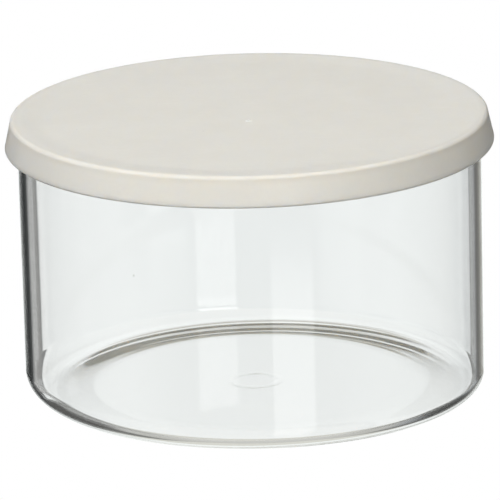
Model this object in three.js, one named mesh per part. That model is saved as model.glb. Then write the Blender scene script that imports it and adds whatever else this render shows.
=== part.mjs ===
// A round glass food container with a one-piece press-on plastic lid.
// Millimetres, +Z up. The origin is the centre of the underside, in the plane of the foot ring.
// Both pieces are turned about Z, so each is one closed profile of radius and height, revolved.
import * as THREE from "three";

// Driving dimensions
const OVERALL_HEIGHT = 83.5;
const GLASS_RADIUS = 68; // outside of the glass at its rim
const WALL = 2.4;
const LID_TOP_RADIUS = 70; // outside of the lid at its top edge
const LID_SKIRT_RADIUS = 71.6; // outside of the lid at the foot of its skirt
const SKIRT_HEIGHT = 9;

// Glass
const BASE_THICKNESS = 2.2; // over the foot ring; the hollow makes the middle thinner
const WALL_DRAFT = 0.2; // how much smaller the wall is at the base, so that it leaves its mould
const HEEL_RADIUS = 6.8; // outer corner between wall and base
const INNER_HEEL_RADIUS = 4.6;
const FOOT_WIDTH = 1.5; // flat ring that the glass stands on
const PUNT_DEPTH = 0.9; // hollow of the underside inside the foot ring
const PUNT_RADIUS = 43.5; // level middle of the hollow
const PUNT_SLOPE_START = 0.45; // share of the slope's run over which it leaves the level middle
const PUNT_SLOPE_END = 0.7; // share of the run where it begins to level out at the foot ring

// Lid
const PANEL_THICKNESS = 1.5;
const PANEL_DISH = 0.5; // how far the flat panel lies below the lid's edge
const DISH_START = 60; // radius where the panel begins to rise to the edge
const EDGE_RADIUS = 1.2; // rounding of the lid's top edge
const SKIRT_THICKNESS = 1.4;
const SKIRT_LIP_RADIUS = 0.4; // rounding of the skirt's outer foot
const PLUG_DEPTH = 6; // how far the sealing ring reaches below the panel
const PLUG_THICKNESS = 1.3;
const PLUG_LEAD_IN = 0.5; // the ring's foot is this much smaller, so it finds the mouth
const PLUG_LEAD_IN_HEIGHT = 2;

// Clearances between the two pieces
const RIM_GAP = 0.3; // glass rim to the lid's ceiling
const PLUG_GAP = 0.3; // sealing ring to the mouth of the glass
const SKIRT_GAP = 0.4; // top of the skirt to the outside of the glass

// Fineness
const TURN_STEPS = 80;
const CURVE_DIVISIONS = 4; // chords along a free curve; an arc gets twice as many

const MOUTH_RADIUS = GLASS_RADIUS - WALL;
const PANEL_TOP = OVERALL_HEIGHT - PANEL_DISH;
const PANEL_UNDERSIDE = PANEL_TOP - PANEL_THICKNESS;
const CHANNEL_CEILING = OVERALL_HEIGHT - PANEL_THICKNESS;
const GLASS_HEIGHT = CHANNEL_CEILING - RIM_GAP;
const HEEL_TOP_RADIUS = GLASS_RADIUS - WALL_DRAFT;

function glassProfile() {
  const footOuter = HEEL_TOP_RADIUS - HEEL_RADIUS;
  const footInner = footOuter - FOOT_WIDTH;
  const slopeRun = footInner - PUNT_RADIUS;
  const innerHeelCentre = HEEL_TOP_RADIUS - WALL - INNER_HEEL_RADIUS;
  const rimRadius = WALL / 2;
  const profile = new THREE.Path();
  profile.moveTo(0, PUNT_DEPTH);
  profile.lineTo(PUNT_RADIUS, PUNT_DEPTH);
  profile.bezierCurveTo(
    PUNT_RADIUS + PUNT_SLOPE_START * slopeRun, PUNT_DEPTH,
    PUNT_RADIUS + PUNT_SLOPE_END * slopeRun, 0,
    footInner, 0,
  );
  profile.lineTo(footOuter, 0);
  profile.absarc(footOuter, HEEL_RADIUS, HEEL_RADIUS, -Math.PI / 2, 0, false);
  profile.lineTo(GLASS_RADIUS, GLASS_HEIGHT - rimRadius);
  profile.absarc(GLASS_RADIUS - rimRadius, GLASS_HEIGHT - rimRadius, rimRadius, 0, Math.PI, false);
  profile.lineTo(HEEL_TOP_RADIUS - WALL, BASE_THICKNESS + INNER_HEEL_RADIUS);
  profile.absarc(
    innerHeelCentre, BASE_THICKNESS + INNER_HEEL_RADIUS, INNER_HEEL_RADIUS, 0, -Math.PI / 2, true,
  );
  profile.lineTo(0, BASE_THICKNESS);
  return profile;
}

function lidProfile() {
  const plugOuter = MOUTH_RADIUS - PLUG_GAP;
  const plugInner = plugOuter - PLUG_THICKNESS;
  const plugFoot = PANEL_UNDERSIDE - PLUG_DEPTH;
  const skirtFoot = OVERALL_HEIGHT - SKIRT_HEIGHT;
  const edgeCentre = LID_TOP_RADIUS - EDGE_RADIUS;
  const profile = new THREE.Path();
  profile.moveTo(0, PANEL_UNDERSIDE);
  profile.lineTo(plugInner, PANEL_UNDERSIDE);
  profile.lineTo(plugInner, plugFoot);
  profile.lineTo(plugOuter - PLUG_LEAD_IN, plugFoot);
  profile.lineTo(plugOuter, plugFoot + PLUG_LEAD_IN_HEIGHT);
  profile.lineTo(plugOuter, CHANNEL_CEILING);
  profile.lineTo(GLASS_RADIUS + SKIRT_GAP, CHANNEL_CEILING);
  profile.lineTo(LID_SKIRT_RADIUS - SKIRT_THICKNESS, skirtFoot);
  profile.lineTo(LID_SKIRT_RADIUS - SKIRT_LIP_RADIUS, skirtFoot);
  profile.absarc(
    LID_SKIRT_RADIUS - SKIRT_LIP_RADIUS, skirtFoot + SKIRT_LIP_RADIUS, SKIRT_LIP_RADIUS,
    -Math.PI / 2, 0, false,
  );
  profile.lineTo(LID_TOP_RADIUS, OVERALL_HEIGHT - EDGE_RADIUS);
  profile.absarc(edgeCentre, OVERALL_HEIGHT - EDGE_RADIUS, EDGE_RADIUS, 0, Math.PI / 2, false);
  profile.bezierCurveTo(
    edgeCentre - EDGE_RADIUS, OVERALL_HEIGHT,
    (edgeCentre + DISH_START) / 2, PANEL_TOP,
    DISH_START, PANEL_TOP,
  );
  profile.lineTo(0, PANEL_TOP);
  return profile;
}

// Revolves a profile of radius and height about Z. LatheGeometry turns about Y.
function turned(name, profile, material) {
  const geometry = new THREE.LatheGeometry(profile.getPoints(CURVE_DIVISIONS), TURN_STEPS);
  geometry.rotateX(Math.PI / 2);
  const mesh = new THREE.Mesh(geometry, material);
  mesh.name = name;
  return mesh;
}

const glass = new THREE.MeshStandardMaterial({
  color: 0xecf0ef,
  roughness: 0.02,
  metalness: 0,
  transparent: true,
  opacity: 0.3,
});
const plastic = new THREE.MeshStandardMaterial({ color: 0xdbd8d1, roughness: 0.45, metalness: 0 });

const container = new THREE.Group();
container.add(turned("glass_body", glassProfile(), glass));
container.add(turned("lid", lidProfile(), plastic));

export default container;
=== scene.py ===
"""A round glass food container with a press-on plastic lid, in a bright-field studio.

Metres, +Z up, in the frame's own coordinates. Azimuth 0 is straight behind the object (+Y) and
grows towards its right (+X); the camera stands in front of it, towards -Y.
"""
import math

import bmesh
import bpy
from mathutils import Matrix, Vector


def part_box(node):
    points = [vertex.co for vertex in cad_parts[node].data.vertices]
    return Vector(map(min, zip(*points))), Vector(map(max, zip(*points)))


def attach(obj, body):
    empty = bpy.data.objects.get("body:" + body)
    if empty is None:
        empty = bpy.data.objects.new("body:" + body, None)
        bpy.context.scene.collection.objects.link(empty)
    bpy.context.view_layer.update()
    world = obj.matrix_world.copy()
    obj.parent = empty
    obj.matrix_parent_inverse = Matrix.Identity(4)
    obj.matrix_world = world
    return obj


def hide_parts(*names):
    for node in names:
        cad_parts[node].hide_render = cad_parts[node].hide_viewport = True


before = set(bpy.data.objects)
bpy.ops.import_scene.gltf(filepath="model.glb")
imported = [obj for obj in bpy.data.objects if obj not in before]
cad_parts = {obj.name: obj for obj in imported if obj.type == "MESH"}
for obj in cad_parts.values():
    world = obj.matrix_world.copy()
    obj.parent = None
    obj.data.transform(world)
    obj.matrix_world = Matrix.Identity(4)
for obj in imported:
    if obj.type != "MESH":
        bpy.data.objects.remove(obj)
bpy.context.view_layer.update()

MM = 0.001
QUARTER = math.pi / 2

# Sizes that both pieces follow, taken from the frame
glass_low, glass_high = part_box("glass_body")
lid_low, lid_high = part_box("lid")
GLASS_RADIUS = glass_high.x
GLASS_HEIGHT = glass_high.z
OVERALL_HEIGHT = lid_high.z
SKIRT_FOOT = lid_low.z
SKIRT_RADIUS = lid_high.x

# Glass
WALL = 2.4 * MM
WALL_DRAFT = 0.2 * MM
BASE_THICKNESS = 2.2 * MM
HEEL_RADIUS = 6.8 * MM
HEEL_UNEVENNESS = 1.7 * MM
HEEL_FULL_ANGLE = math.radians(222)
HEEL_TIGHTENING = 1.2 * MM
HEEL_TIGHT_ANGLE = math.radians(322)
HEEL_TIGHT_SHARPNESS = 8
HEEL_WALL = 2.2 * MM
FOOT_WIDTH = 0.4 * MM
PUNT_DEPTH = 0.9 * MM
PUNT_RADIUS = 43.5 * MM
PUNT_LEAN = 1.3
MARK_RADIUS = 7 * MM
MARK_WIDTH = 4 * MM
MARK_HEIGHT = 0.03 * MM

# Lid
SKIRT_FLARE = 1.6 * MM
LID_TOP_RADIUS = SKIRT_RADIUS - SKIRT_FLARE
PANEL_DISH = 0.5 * MM
PANEL_THICKNESS = 1.5 * MM
DISH_START = 60 * MM
EDGE_RADIUS = 1.2 * MM
SKIRT_THICKNESS = 1.4 * MM
SKIRT_GAP = 0.4 * MM
PLUG_GAP = 0.3 * MM
PLUG_DEPTH = 6 * MM
PLUG_THICKNESS = 1.3 * MM
PLUG_CORNER = 0.4 * MM
PLUG_LEAD_IN = 0.5 * MM
PLUG_LEAD_IN_HEIGHT = 2 * MM
GATE_OFFSET = 7.1 * MM
GATE_REACH = 50 * MM
GATE_DIMPLE_RADIUS = 2.2 * MM
GATE_DIMPLE_FLOOR_RADIUS = 1.2 * MM
GATE_DIMPLE_DEPTH = 0.12 * MM
GATE_NUB_RADIUS = 0.75 * MM
GATE_NUB_RISE = 0.3 * MM

# Fineness
ON_AXIS = 1e-7
TURN_STEPS = 288
ARC_STEPS = 20
HEEL_STEPS = 32
WALL_STEPS = 24
PUNT_STEPS = 48
MARK_STEPS = 12


# ---------------------------------------------------------------- camera
def make_camera():
    """The photograph's view: a long lens 16 degrees above the table, rolled a little."""
    elevation = math.radians(16.2)
    roll = math.radians(-1.44)
    distance = 1.96
    target = Vector((0, 0, 0.042))
    aim_left = 0.62 * MM
    aim_low = 0.36 * MM
    back = Vector((0, -math.cos(elevation), math.sin(elevation)))
    level = Vector((1, 0, 0))
    rise = back.cross(level)
    right = math.cos(roll) * level + math.sin(roll) * rise
    up = back.cross(right)
    aim = target - aim_left * right - aim_low * up
    data = bpy.data.cameras.new("camera")
    data.lens = 479.9
    data.sensor_width = 36
    data.clip_start = 0.01
    data.clip_end = 50
    camera = bpy.data.objects.new("camera", data)
    camera.matrix_world = (
        Matrix.Translation(aim + distance * back)
        @ Matrix((right, up, back)).transposed().to_4x4()
    )
    bpy.context.scene.collection.objects.link(camera)
    bpy.context.scene.camera = camera


# ---------------------------------------------------------------- meshes
def arc(radius, height, size, start, end, steps=ARC_STEPS):
    """Points of an arc about (radius, height), from one angle to another."""
    angles = [start + (end - start) * i / steps for i in range(steps + 1)]
    return [(radius + size * math.cos(a), height + size * math.sin(a)) for a in angles]


def ease(start, end, steps=ARC_STEPS):
    """Points of a smooth step from one (radius, height) to another, level at both ends."""
    points = []
    for i in range(steps + 1):
        t = i / steps
        s = t * t * (3 - 2 * t)
        points.append((start[0] + (end[0] - start[0]) * t, start[1] + (end[1] - start[1]) * s))
    return points


def straight(start, end, steps):
    """Points of a straight run between two (radius, height) pairs, ends left out."""
    return [
        (start[0] + (end[0] - start[0]) * i / steps, start[1] + (end[1] - start[1]) * i / steps)
        for i in range(1, steps)
    ]


def revolved(name, profile_at):
    """Revolves a profile that starts and ends on the axis; profile_at gives it for each angle."""
    mesh = bmesh.new()
    angles = [2 * math.pi * i / TURN_STEPS for i in range(TURN_STEPS)]
    profiles = [profile_at(angle) for angle in angles]
    rings = []
    for radii_and_heights in zip(*profiles):
        radius, height = radii_and_heights[0]
        if radius < ON_AXIS:
            rings.append([mesh.verts.new((0, 0, height))])
            continue
        ring = []
        for angle, (radius, height) in zip(angles, radii_and_heights):
            x = radius * math.cos(angle)
            y = radius * math.sin(angle)
            ring.append(mesh.verts.new((x, y, height)))
        rings.append(ring)
    for lower, upper in zip(rings, rings[1:]):
        for i in range(TURN_STEPS):
            j = (i + 1) % TURN_STEPS
            corners = [lower[i % len(lower)], lower[j % len(lower)]]
            corners += [upper[j % len(upper)], upper[i % len(upper)]]
            mesh.faces.new(list(dict.fromkeys(corners)))
    bmesh.ops.recalc_face_normals(mesh, faces=mesh.faces)
    data = bpy.data.meshes.new(name)
    mesh.to_mesh(data)
    mesh.free()
    data.shade_smooth()
    return data


def add_piece(name, data, body, node):
    """Puts a mesh in the place of a CAD node, on that node's body."""
    piece = bpy.data.objects.new(name, data)
    bpy.context.scene.collection.objects.link(piece)
    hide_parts(node)
    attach(piece, body)
    return piece


def heel_radius_at(angle):
    """The heel isn't quite even: fullest at the front left, tightest round the right side."""
    fullness = math.cos(angle - HEEL_FULL_ANGLE)
    nearness = (1 + math.cos(angle - HEEL_TIGHT_ANGLE)) / 2
    tightening = HEEL_TIGHTENING * nearness ** HEEL_TIGHT_SHARPNESS
    return HEEL_RADIUS + HEEL_UNEVENNESS * fullness - tightening


def punt_slope(foot_inner):
    """The hollow's edge: a long S from the flat middle down to the foot ring, steeper outside."""
    points = []
    for i in range(PUNT_STEPS + 1):
        t = i / PUNT_STEPS
        u = t ** PUNT_LEAN
        fall = u * u * (3 - 2 * u)
        radius = PUNT_RADIUS + (foot_inner - PUNT_RADIUS) * t
        points.append((radius, PUNT_DEPTH * (1 - fall)))
    return points


def mould_mark():
    """A low ridge round the middle of the underside, as a pressing mould leaves."""
    points = []
    for i in range(MARK_STEPS + 1):
        t = i / MARK_STEPS
        drop = MARK_HEIGHT * (1 - math.cos(2 * math.pi * t)) / 2
        points.append((MARK_RADIUS + (t - 0.5) * MARK_WIDTH, PUNT_DEPTH - drop))
    return points


def glass_profile(angle):
    """The bowl's section: hollow underside, foot ring, heel, wall, rim, inner heel, floor."""
    heel_radius = heel_radius_at(angle)
    heel_top = GLASS_RADIUS - WALL_DRAFT
    foot_outer = heel_top - heel_radius
    rim = WALL / 2
    mouth = GLASS_RADIUS - WALL
    inner_heel_radius = heel_radius - HEEL_WALL
    inner_heel = heel_top - WALL - inner_heel_radius
    inner_heel_top = BASE_THICKNESS + inner_heel_radius
    rim_centre = GLASS_HEIGHT - rim
    profile = [(0, PUNT_DEPTH)]
    profile += mould_mark()
    profile += straight((MARK_RADIUS + MARK_WIDTH, PUNT_DEPTH), (PUNT_RADIUS, PUNT_DEPTH), 12)
    profile += punt_slope(foot_outer - FOOT_WIDTH)
    profile += arc(foot_outer, heel_radius, heel_radius, -QUARTER, 0, HEEL_STEPS)
    profile += straight((heel_top, heel_radius), (GLASS_RADIUS, rim_centre), WALL_STEPS)
    profile += arc(GLASS_RADIUS - rim, rim_centre, rim, 0, math.pi)
    profile += straight((mouth, rim_centre), (heel_top - WALL, inner_heel_top), WALL_STEPS)
    profile += arc(inner_heel, inner_heel_top, inner_heel_radius, 0, -QUARTER, HEEL_STEPS)
    profile += straight((inner_heel, BASE_THICKNESS), (0, BASE_THICKNESS), 16)
    profile += [(0, BASE_THICKNESS)]
    return profile


def make_glass():
    data = revolved("glass_bowl", glass_profile)
    return add_piece("glass_bowl", data, "container", "glass_body")


def move_gate(data, above):
    """Slides the panel's rings forward in their own plane: the gate isn't in the middle."""
    for vertex in data.vertices:
        if vertex.co.z < above:
            continue
        nearness = max(0, 1 - vertex.co.xy.length / GATE_REACH)
        vertex.co.y -= GATE_OFFSET * nearness * nearness * (3 - 2 * nearness)


def gate_profile(panel_top):
    """Out from the panel into a shallow dimple, then up a small nub on the axis."""
    floor = panel_top - GATE_DIMPLE_DEPTH
    nub_top = panel_top + GATE_NUB_RISE
    dimple = ease((GATE_DIMPLE_RADIUS, panel_top), (GATE_DIMPLE_FLOOR_RADIUS, floor), 4)
    nub = ease((GATE_NUB_RADIUS, floor), (0, nub_top), 6)
    return dimple + nub


def plug_profile(plug_inner, plug_outer, plug_foot):
    """Down the inside of the sealing ring, round its foot and out over the lead-in."""
    corner = PLUG_CORNER
    inside = arc(plug_inner + corner, plug_foot + corner, corner, -2 * QUARTER, -QUARTER, 6)
    lead_in = [(plug_outer - PLUG_LEAD_IN, plug_foot)]
    lead_in += [(plug_outer, plug_foot + PLUG_LEAD_IN_HEIGHT)]
    return inside + lead_in


def make_lid():
    """The moulded lid: sealing ring, channel, flared skirt, rounded edge, dished panel, gate."""
    plug_outer = GLASS_RADIUS - WALL - PLUG_GAP
    plug_inner = plug_outer - PLUG_THICKNESS
    panel_top = OVERALL_HEIGHT - PANEL_DISH
    underside = panel_top - PANEL_THICKNESS
    ceiling = OVERALL_HEIGHT - PANEL_THICKNESS
    lip = SKIRT_THICKNESS / 2
    skirt_foot = (SKIRT_RADIUS, SKIRT_FOOT + lip)
    edge_centre = LID_TOP_RADIUS - EDGE_RADIUS
    edge_height = OVERALL_HEIGHT - EDGE_RADIUS
    profile = [(0, underside)]
    profile += straight((0, underside), (plug_inner, underside), 8)
    profile += [(plug_inner, underside)]
    profile += plug_profile(plug_inner, plug_outer, underside - PLUG_DEPTH)
    profile += [(plug_outer, ceiling), (GLASS_RADIUS + SKIRT_GAP, ceiling)]
    profile += [(SKIRT_RADIUS - SKIRT_THICKNESS, SKIRT_FOOT + lip)]
    profile += arc(SKIRT_RADIUS - lip, SKIRT_FOOT + lip, lip, -2 * QUARTER, 0, 12)
    profile += straight(skirt_foot, (LID_TOP_RADIUS, edge_height), 6)
    profile += arc(edge_centre, edge_height, EDGE_RADIUS, 0, QUARTER, 12)
    profile += ease((edge_centre, OVERALL_HEIGHT), (DISH_START, panel_top))[1:]
    profile += straight((DISH_START, panel_top), (GATE_DIMPLE_RADIUS, panel_top), 20)
    profile += gate_profile(panel_top)
    data = revolved("lid_shell", lambda angle: profile)
    move_gate(data, panel_top - PANEL_THICKNESS / 2)
    return add_piece("lid_shell", data, "lid", "lid")


# ---------------------------------------------------------------- materials
class Nodes:
    """Adds nodes to a tree; the inputs are plain values or other nodes' outputs."""

    def __init__(self, tree):
        self.tree = tree

    def plug(self, socket, value):
        if isinstance(value, bpy.types.NodeSocket):
            self.tree.links.new(value, socket)
        else:
            socket.default_value = value

    def math(self, operation, *values):
        node = self.tree.nodes.new("ShaderNodeMath")
        node.operation = operation
        for socket, value in zip(node.inputs, values):
            self.plug(socket, value)
        return node.outputs[0]

    def ramp(self, value, start, end, before=0.0, after=1.0):
        """One number before start, another after end, smooth between."""
        node = self.tree.nodes.new("ShaderNodeMapRange")
        node.interpolation_type = "SMOOTHSTEP"
        self.plug(node.inputs["Value"], value)
        node.inputs["From Min"].default_value = start
        node.inputs["From Max"].default_value = end
        node.inputs["To Min"].default_value = before
        node.inputs["To Max"].default_value = after
        return node.outputs["Result"]

    def mix(self, factor, a, b):
        """Colour a where the factor is 0, b where it is 1."""
        node = self.tree.nodes.new("ShaderNodeMix")
        node.data_type = "RGBA"
        self.plug(node.inputs["Factor"], factor)
        self.plug(node.inputs["A"], a)
        self.plug(node.inputs["B"], b)
        return node.outputs["Result"]

    def place(self):
        """A point's own coordinates on its piece, in metres."""
        return self.tree.nodes.new("ShaderNodeTexCoord").outputs["Object"]

    def stretched(self, place, scale):
        """The place scaled along each axis, so that noise on it draws out where it is small."""
        node = self.tree.nodes.new("ShaderNodeMapping")
        self.plug(node.inputs["Vector"], place)
        node.inputs["Scale"].default_value = scale
        return node.outputs["Vector"]

    def axes(self, vector):
        node = self.tree.nodes.new("ShaderNodeSeparateXYZ")
        self.plug(node.inputs[0], vector)
        return node.outputs

    def radius(self, place, forward=0.0):
        """Distance from the vertical axis, or from one that much further forward."""
        x, y, _ = self.axes(place)
        y = self.math("ADD", y, forward)
        squares = self.math("ADD", self.math("POWER", x, 2), self.math("POWER", y, 2))
        return self.math("SQRT", squares)

    def noise(self, place, size, detail=2.0):
        """Smooth noise with features of about this size."""
        node = self.tree.nodes.new("ShaderNodeTexNoise")
        self.plug(node.inputs["Vector"], place)
        node.inputs["Scale"].default_value = 1 / size
        node.inputs["Detail"].default_value = detail
        return node.outputs["Fac"]

    def specks(self, place, spacing, radius):
        """1 inside small round specks scattered about this far apart, 0 outside."""
        node = self.tree.nodes.new("ShaderNodeTexVoronoi")
        self.plug(node.inputs["Vector"], place)
        node.inputs["Scale"].default_value = 1 / spacing
        return self.ramp(node.outputs["Distance"], 0.6 * radius / spacing, radius / spacing, 1, 0)

    def bump(self, height, distance, normal=None):
        """Relief of this depth in metres, on top of another bump's normal if there is one."""
        node = self.tree.nodes.new("ShaderNodeBump")
        node.inputs["Distance"].default_value = distance
        self.plug(node.inputs["Height"], height)
        if normal is not None:
            self.plug(node.inputs["Normal"], normal)
        return node.outputs["Normal"]


def new_material(name):
    material = bpy.data.materials.new(name)
    material.use_nodes = True
    tree = material.node_tree
    return material, Nodes(tree), tree.nodes["Principled BSDF"]


def scaled(colour, factor):
    return (colour[0] * factor, colour[1] * factor, colour[2] * factor, 1)


def glass_material():
    """Clear pressed glass: faint waves, upright cords, a few seeds and a breath of haze."""
    clear = (1, 1, 1, 1)
    seed_colour = (0.72, 0.72, 0.68, 1)
    most_haze = 0.025
    material, nodes, shader = new_material("clear_glass")
    place = nodes.place()
    seed = nodes.specks(place, spacing=31 * MM, radius=0.45 * MM)
    nodes.plug(shader.inputs["Base Color"], nodes.mix(seed, clear, seed_colour))
    haze = nodes.ramp(nodes.noise(place, 14 * MM, 4), 0.6, 0.8, 0, most_haze)
    nodes.plug(shader.inputs["Roughness"], haze)
    shader.inputs["IOR"].default_value = 1.5
    shader.inputs["Transmission Weight"].default_value = 1
    waves = nodes.bump(nodes.noise(place, 22 * MM, 1), distance=0.012 * MM)
    upright = nodes.stretched(place, (1, 1, 0.08))
    cords = nodes.bump(nodes.noise(upright, 3.5 * MM), distance=0.0012 * MM, normal=waves)
    nodes.plug(shader.inputs["Normal"], cords)
    absorb = nodes.tree.nodes.new("ShaderNodeVolumeAbsorption")
    absorb.inputs["Color"].default_value = (0.62, 0.78, 0.6, 1)
    absorb.inputs["Density"].default_value = 2.0
    output = nodes.tree.nodes["Material Output"]
    nodes.plug(output.inputs["Volume"], absorb.outputs["Volume"])
    return material


PLASTIC = (0.745, 0.723, 0.673)
PALE_NUB = (0.93, 0.92, 0.88, 1)
DARK_FLECK = (0.36, 0.33, 0.28, 1)


def lid_edge(nodes, place):
    """1 on the lid's rounded top edge, 0 on the panel and down the skirt."""
    outwards = nodes.ramp(nodes.radius(place), 67 * MM, 69 * MM)
    upwards = nodes.ramp(nodes.axes(place)[2], 80.5 * MM, 82.5 * MM)
    return nodes.math("MULTIPLY", outwards, upwards)


def plastic_tone(nodes, place, edge):
    """Clouds, mottle, a paler gate, painted shade on the rounded edge and rare dark flecks."""
    clouds = nodes.ramp(nodes.noise(place, 26 * MM, 3), 0.35, 0.65)
    tone = nodes.mix(clouds, scaled(PLASTIC, 0.99), scaled(PLASTIC, 1.006))
    mottle = nodes.ramp(nodes.noise(place, 1.3 * MM, 3), 0.4, 0.75, 0, 0.3)
    tone = nodes.mix(mottle, tone, scaled(PLASTIC, 0.965))
    from_gate = nodes.radius(place, GATE_OFFSET)
    halo = nodes.ramp(from_gate, 3 * MM, 12 * MM, 0.5, 0)
    tone = nodes.mix(halo, tone, scaled(PLASTIC, 1.015))
    nub = nodes.ramp(from_gate, 0.8 * MM, 1.3 * MM, 1, 0)
    tone = nodes.mix(nub, tone, PALE_NUB)
    # Painted shade: the rounded top edge is made 6% darker to hold back the lamp light it catches
    tone = nodes.mix(edge, tone, scaled(PLASTIC, 0.94))
    fleck = nodes.specks(place, spacing=17 * MM, radius=0.35 * MM)
    return nodes.mix(nodes.math("MULTIPLY", fleck, 0.35), tone, DARK_FLECK)


def plastic_roughness(nodes, place, edge):
    """Uneven satin, smoother in short scuffs and rougher on the edge."""
    satin = nodes.ramp(nodes.noise(place, 8 * MM, 3), 0.3, 0.7, 0.38, 0.47)
    along_x = nodes.stretched(place, (0.25, 1, 1))
    scuffs = nodes.ramp(nodes.noise(along_x, 2.2 * MM, 4), 0.6, 0.72)
    satin = nodes.math("SUBTRACT", satin, nodes.math("MULTIPLY", scuffs, 0.08))
    return nodes.math("ADD", satin, nodes.math("MULTIPLY", edge, 0.2))


def plastic_material():
    """Satin moulded plastic that a little light sinks into."""
    material, nodes, shader = new_material("lid_plastic")
    place = nodes.place()
    edge = lid_edge(nodes, place)
    nodes.plug(shader.inputs["Base Color"], plastic_tone(nodes, place, edge))
    nodes.plug(shader.inputs["Roughness"], plastic_roughness(nodes, place, edge))
    warp = nodes.bump(nodes.noise(place, 32 * MM, 1), distance=0.06 * MM)
    grain = nodes.bump(nodes.noise(place, 0.5 * MM), distance=0.012 * MM, normal=warp)
    nodes.plug(shader.inputs["Normal"], grain)
    shader.inputs["Subsurface Weight"].default_value = 1
    shader.inputs["Subsurface Radius"].default_value = (1, 0.9, 0.75)
    shader.inputs["Subsurface Scale"].default_value = 3 * MM
    return material


# ---------------------------------------------------------------- studio
def make_floor():
    """A pale table top, bright enough to be plain white in the picture."""
    mesh = bpy.data.meshes.new("floor")
    side = 12
    corners = [(-side, -side, 0), (side, -side, 0), (side, side, 0), (-side, side, 0)]
    mesh.from_pydata(corners, [], [(0, 1, 2, 3)])
    floor = bpy.data.objects.new("floor", mesh)
    bpy.context.scene.collection.objects.link(floor)
    material = bpy.data.materials.new("white_table")
    material.use_nodes = True
    tree = material.node_tree
    tree.nodes.clear()
    glow = tree.nodes.new("ShaderNodeEmission")
    output = tree.nodes.new("ShaderNodeOutputMaterial")
    tree.links.new(glow.outputs[0], output.inputs["Surface"])
    mesh.materials.append(material)
    floor.visible_diffuse = False
    floor.visible_glossy = False
    floor.visible_transmission = False
    floor.visible_shadow = False


class Sky(Nodes):
    """The studio as the glass sees it: a colour for each direction, painted patch by patch."""

    def __init__(self, colour):
        world = bpy.data.worlds.new("studio")
        world.use_nodes = True
        bpy.context.scene.world = world
        super().__init__(world.node_tree)
        self.tree.nodes.clear()
        direction = self.tree.nodes.new("ShaderNodeTexCoord").outputs["Generated"]
        x, y, z = self.axes(direction)
        self.azimuth = self.math("DEGREES", self.math("ARCTAN2", x, y))
        self.elevation = self.math("DEGREES", self.math("ARCSINE", z))
        self.colour = (*colour, 1)

    def paint(self, colour, azimuth, half_width, low, high, edge=1.0, rim=0.15):
        """A patch centred on an azimuth, between two elevations, all in degrees.

        Its sides fade over edge, its top and bottom over rim.
        """
        offset = self.math("SUBTRACT", self.azimuth, azimuth)
        offset = self.math("WRAP", offset, 180, -180)
        offset = self.math("ABSOLUTE", offset)
        mask = self.ramp(offset, half_width - edge, half_width + edge, 1, 0)
        mask = self.math("MULTIPLY", mask, self.ramp(self.elevation, low - rim, low + rim))
        mask = self.math("MULTIPLY", mask, self.ramp(self.elevation, high - rim, high + rim, 1, 0))
        self.colour = self.mix(mask, self.colour, (*colour, 1))

    def finish(self):
        """White to the camera itself; the lid's own colour is lit by the lamps alone."""
        seen_by_camera = self.tree.nodes.new("ShaderNodeLightPath").outputs["Is Camera Ray"]
        background = self.tree.nodes.new("ShaderNodeBackground")
        output = self.tree.nodes.new("ShaderNodeOutputWorld")
        self.plug(background.inputs["Color"], self.mix(seen_by_camera, self.colour, (1, 1, 1, 1)))
        self.plug(output.inputs["Surface"], background.outputs[0])
        bpy.context.scene.world.cycles_visibility.diffuse = False


def paint_window(sky, azimuth, low, high, white=0.94, edge=0.5):
    """A white card with dark edges for one more direction of view, and its mirror above."""
    card = (white, 1.03 * white, 1.02 * white)
    for bottom, top in ((low, high), (-high, -low)):
        sky.paint((0.06, 0.062, 0.062), azimuth, 28, bottom, top, edge=3, rim=0.5)
        sky.paint(card, azimuth, 11, bottom, top, edge=edge, rim=0.5)


WHOLE = (-90, 90)
CARD = (1.3, 11.3)
WALL_LOOK = (-19, -13)
WHITE = (0.97, 1, 0.99)
HORIZON = (0.42, 0.4, 0.33)


def paint_sides(sky):
    """The dark surrounds of the white card, which draw the glass's edges."""
    sky.paint((0.52, 0.52, 0.51), -90, 70, *WHOLE, edge=15)
    sky.paint((0.1, 0.1, 0.1), 180, 50, *WHOLE, edge=20)
    paint_window(sky, 135, -15.9, -12.5, white=0.85, edge=4)
    sky.paint((0.45, 0.46, 0.455), 135, 11, -17, -15.9, edge=4, rim=0.2)
    paint_window(sky, -90, -6.5, -0.5)
    sky.paint((0.285, 0.3, 0.31), 45, 17, *WHOLE, edge=6)
    sky.paint((0.12, 0.125, 0.125), -28, 3.5, *WHOLE, edge=1)
    sky.paint((0.036, 0.038, 0.038), -18.5, 9.5, *WHOLE, edge=1)
    sky.paint((0.14, 0.14, 0.135), 26, 5, *WHOLE, edge=2)
    sky.paint((0.25, 0.243, 0.215), 15, 7, *WHOLE, edge=1.5)


def paint_card(sky):
    """The white card straight behind, brighter at its edges, with a beige horizon across it."""
    sky.paint(WHITE, *CARD, *WHOLE, edge=0.4)
    sky.paint((0.945, 0.976, 0.968), 1.5, 7, -16.8, -13, edge=1.5, rim=0.4)
    sky.paint((1.1, 1.13, 1.12), -9, 1, *WALL_LOOK, edge=0.5)
    sky.paint((1.07, 1.1, 1.09), 9.4, 1.2, *WALL_LOOK, edge=0.8)
    sky.paint((1.22, 1.25, 1.24), 11.5, 1.1, *WALL_LOOK, edge=0.4)
    sky.paint((0.75, 0.77, 0.76), *CARD, 12, 60, edge=0.4, rim=1)
    sky.paint(HORIZON, 0.5, 4, -13, 11, edge=1, rim=0.4)
    sky.paint((0.4, 0.39, 0.34), 0, 40, 50, 95, edge=10, rim=5)
    sky.paint(WHITE, 0.5, 5, -6.5, 6.5, edge=0.4, rim=0.4)


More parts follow.
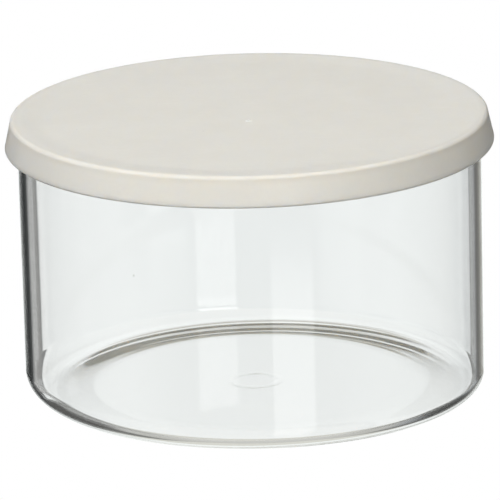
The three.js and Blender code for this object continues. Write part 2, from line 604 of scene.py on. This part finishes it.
def paint_table(sky):
    """What the heel and the base bend into view: the table top, from far to straight below."""
    sky.paint((1, 1.03, 1.02), 1.5, 14, -60, -24, edge=2.5, rim=4)
    sky.paint((0.1, 0.1, 0.096), -36, 19, -52, -24, edge=5, rim=5)
    sky.paint((0.07, 0.072, 0.07), 43, 25, -46, -24, edge=7, rim=5)
    sky.paint((0.5, 0.5, 0.47), 0, 75, -95, -54, edge=15, rim=5)
    sky.paint((0.68, 0.68, 0.62), 0, 15, -62, -37, edge=4, rim=3)
    sky.paint((0.58, 0.58, 0.55), 0, 180, -95, -66, rim=5)
    paint_window(sky, -45, -27, -23)


def paint_front(sky):
    """A card and a lamp to the right of the camera, for the pale streaks on the glass."""
    sky.paint((1.0, 1.0, 1.0), 160.5, 10.5, -60, -16.7, rim=0.5)
    sky.paint((2.7, 2.7, 2.7), 160.5, 10.5, 8, 40, rim=2)


def make_sky():
    """Later patches cover earlier ones, so their order matters."""
    sky = Sky((0.3, 0.3, 0.295))
    paint_sides(sky)
    paint_card(sky)
    paint_table(sky)
    paint_front(sky)
    sky.finish()


def lamp(name, azimuth, elevation, distance, size, power, colour=(1, 1, 1)):
    """A soft square lamp facing the object, seen by dull surfaces only."""
    data = bpy.data.lights.new(name, "AREA")
    data.size = size
    data.energy = power
    data.color = colour
    lamp_object = bpy.data.objects.new(name, data)
    a, e = math.radians(azimuth), math.radians(elevation)
    away = Vector((math.sin(a) * math.cos(e), math.cos(a) * math.cos(e), math.sin(e)))
    centre = Vector((0, 0, OVERALL_HEIGHT / 2))
    lamp_object.location = centre + distance * away
    lamp_object.rotation_euler = away.to_track_quat("Z", "Y").to_euler()
    bpy.context.scene.collection.objects.link(lamp_object)
    lamp_object.visible_camera = False
    lamp_object.visible_glossy = False
    lamp_object.visible_transmission = False


def make_lamps():
    """A key from the front left, fills round it and a little light from behind and below."""
    lamp("key", -146, 48, 3, 1.6, 57)
    lamp("fill", 158, 25, 3, 2.0, 57, colour=(1, 0.985, 0.94))
    lamp("left_fill", -120, 20, 3, 1.6, 16)
    lamp("back_left", -50, 30, 3, 2.0, 16)
    lamp("back_right", 25, 30, 3, 2.0, 8)
    lamp("top", 180, 80, 3, 1.6, 12)
    lamp("table_bounce", 180, -70, 2, 2.0, 10)


make_camera()
glass = make_glass()
lid = make_lid()
glass.data.materials.append(glass_material())
lid.data.materials.append(plastic_material())
make_floor()
make_sky()
make_lamps()

# Light that is caught in the glass runs round it many times before it comes out
BOUNCES = 64
scene = bpy.context.scene
scene.view_settings.view_transform = "Standard"
scene.cycles.use_denoising = True
scene.cycles.max_bounces = BOUNCES
scene.cycles.transmission_bounces = BOUNCES
scene.cycles.glossy_bounces = BOUNCES
scene.cycles.sample_clamp_indirect = 0
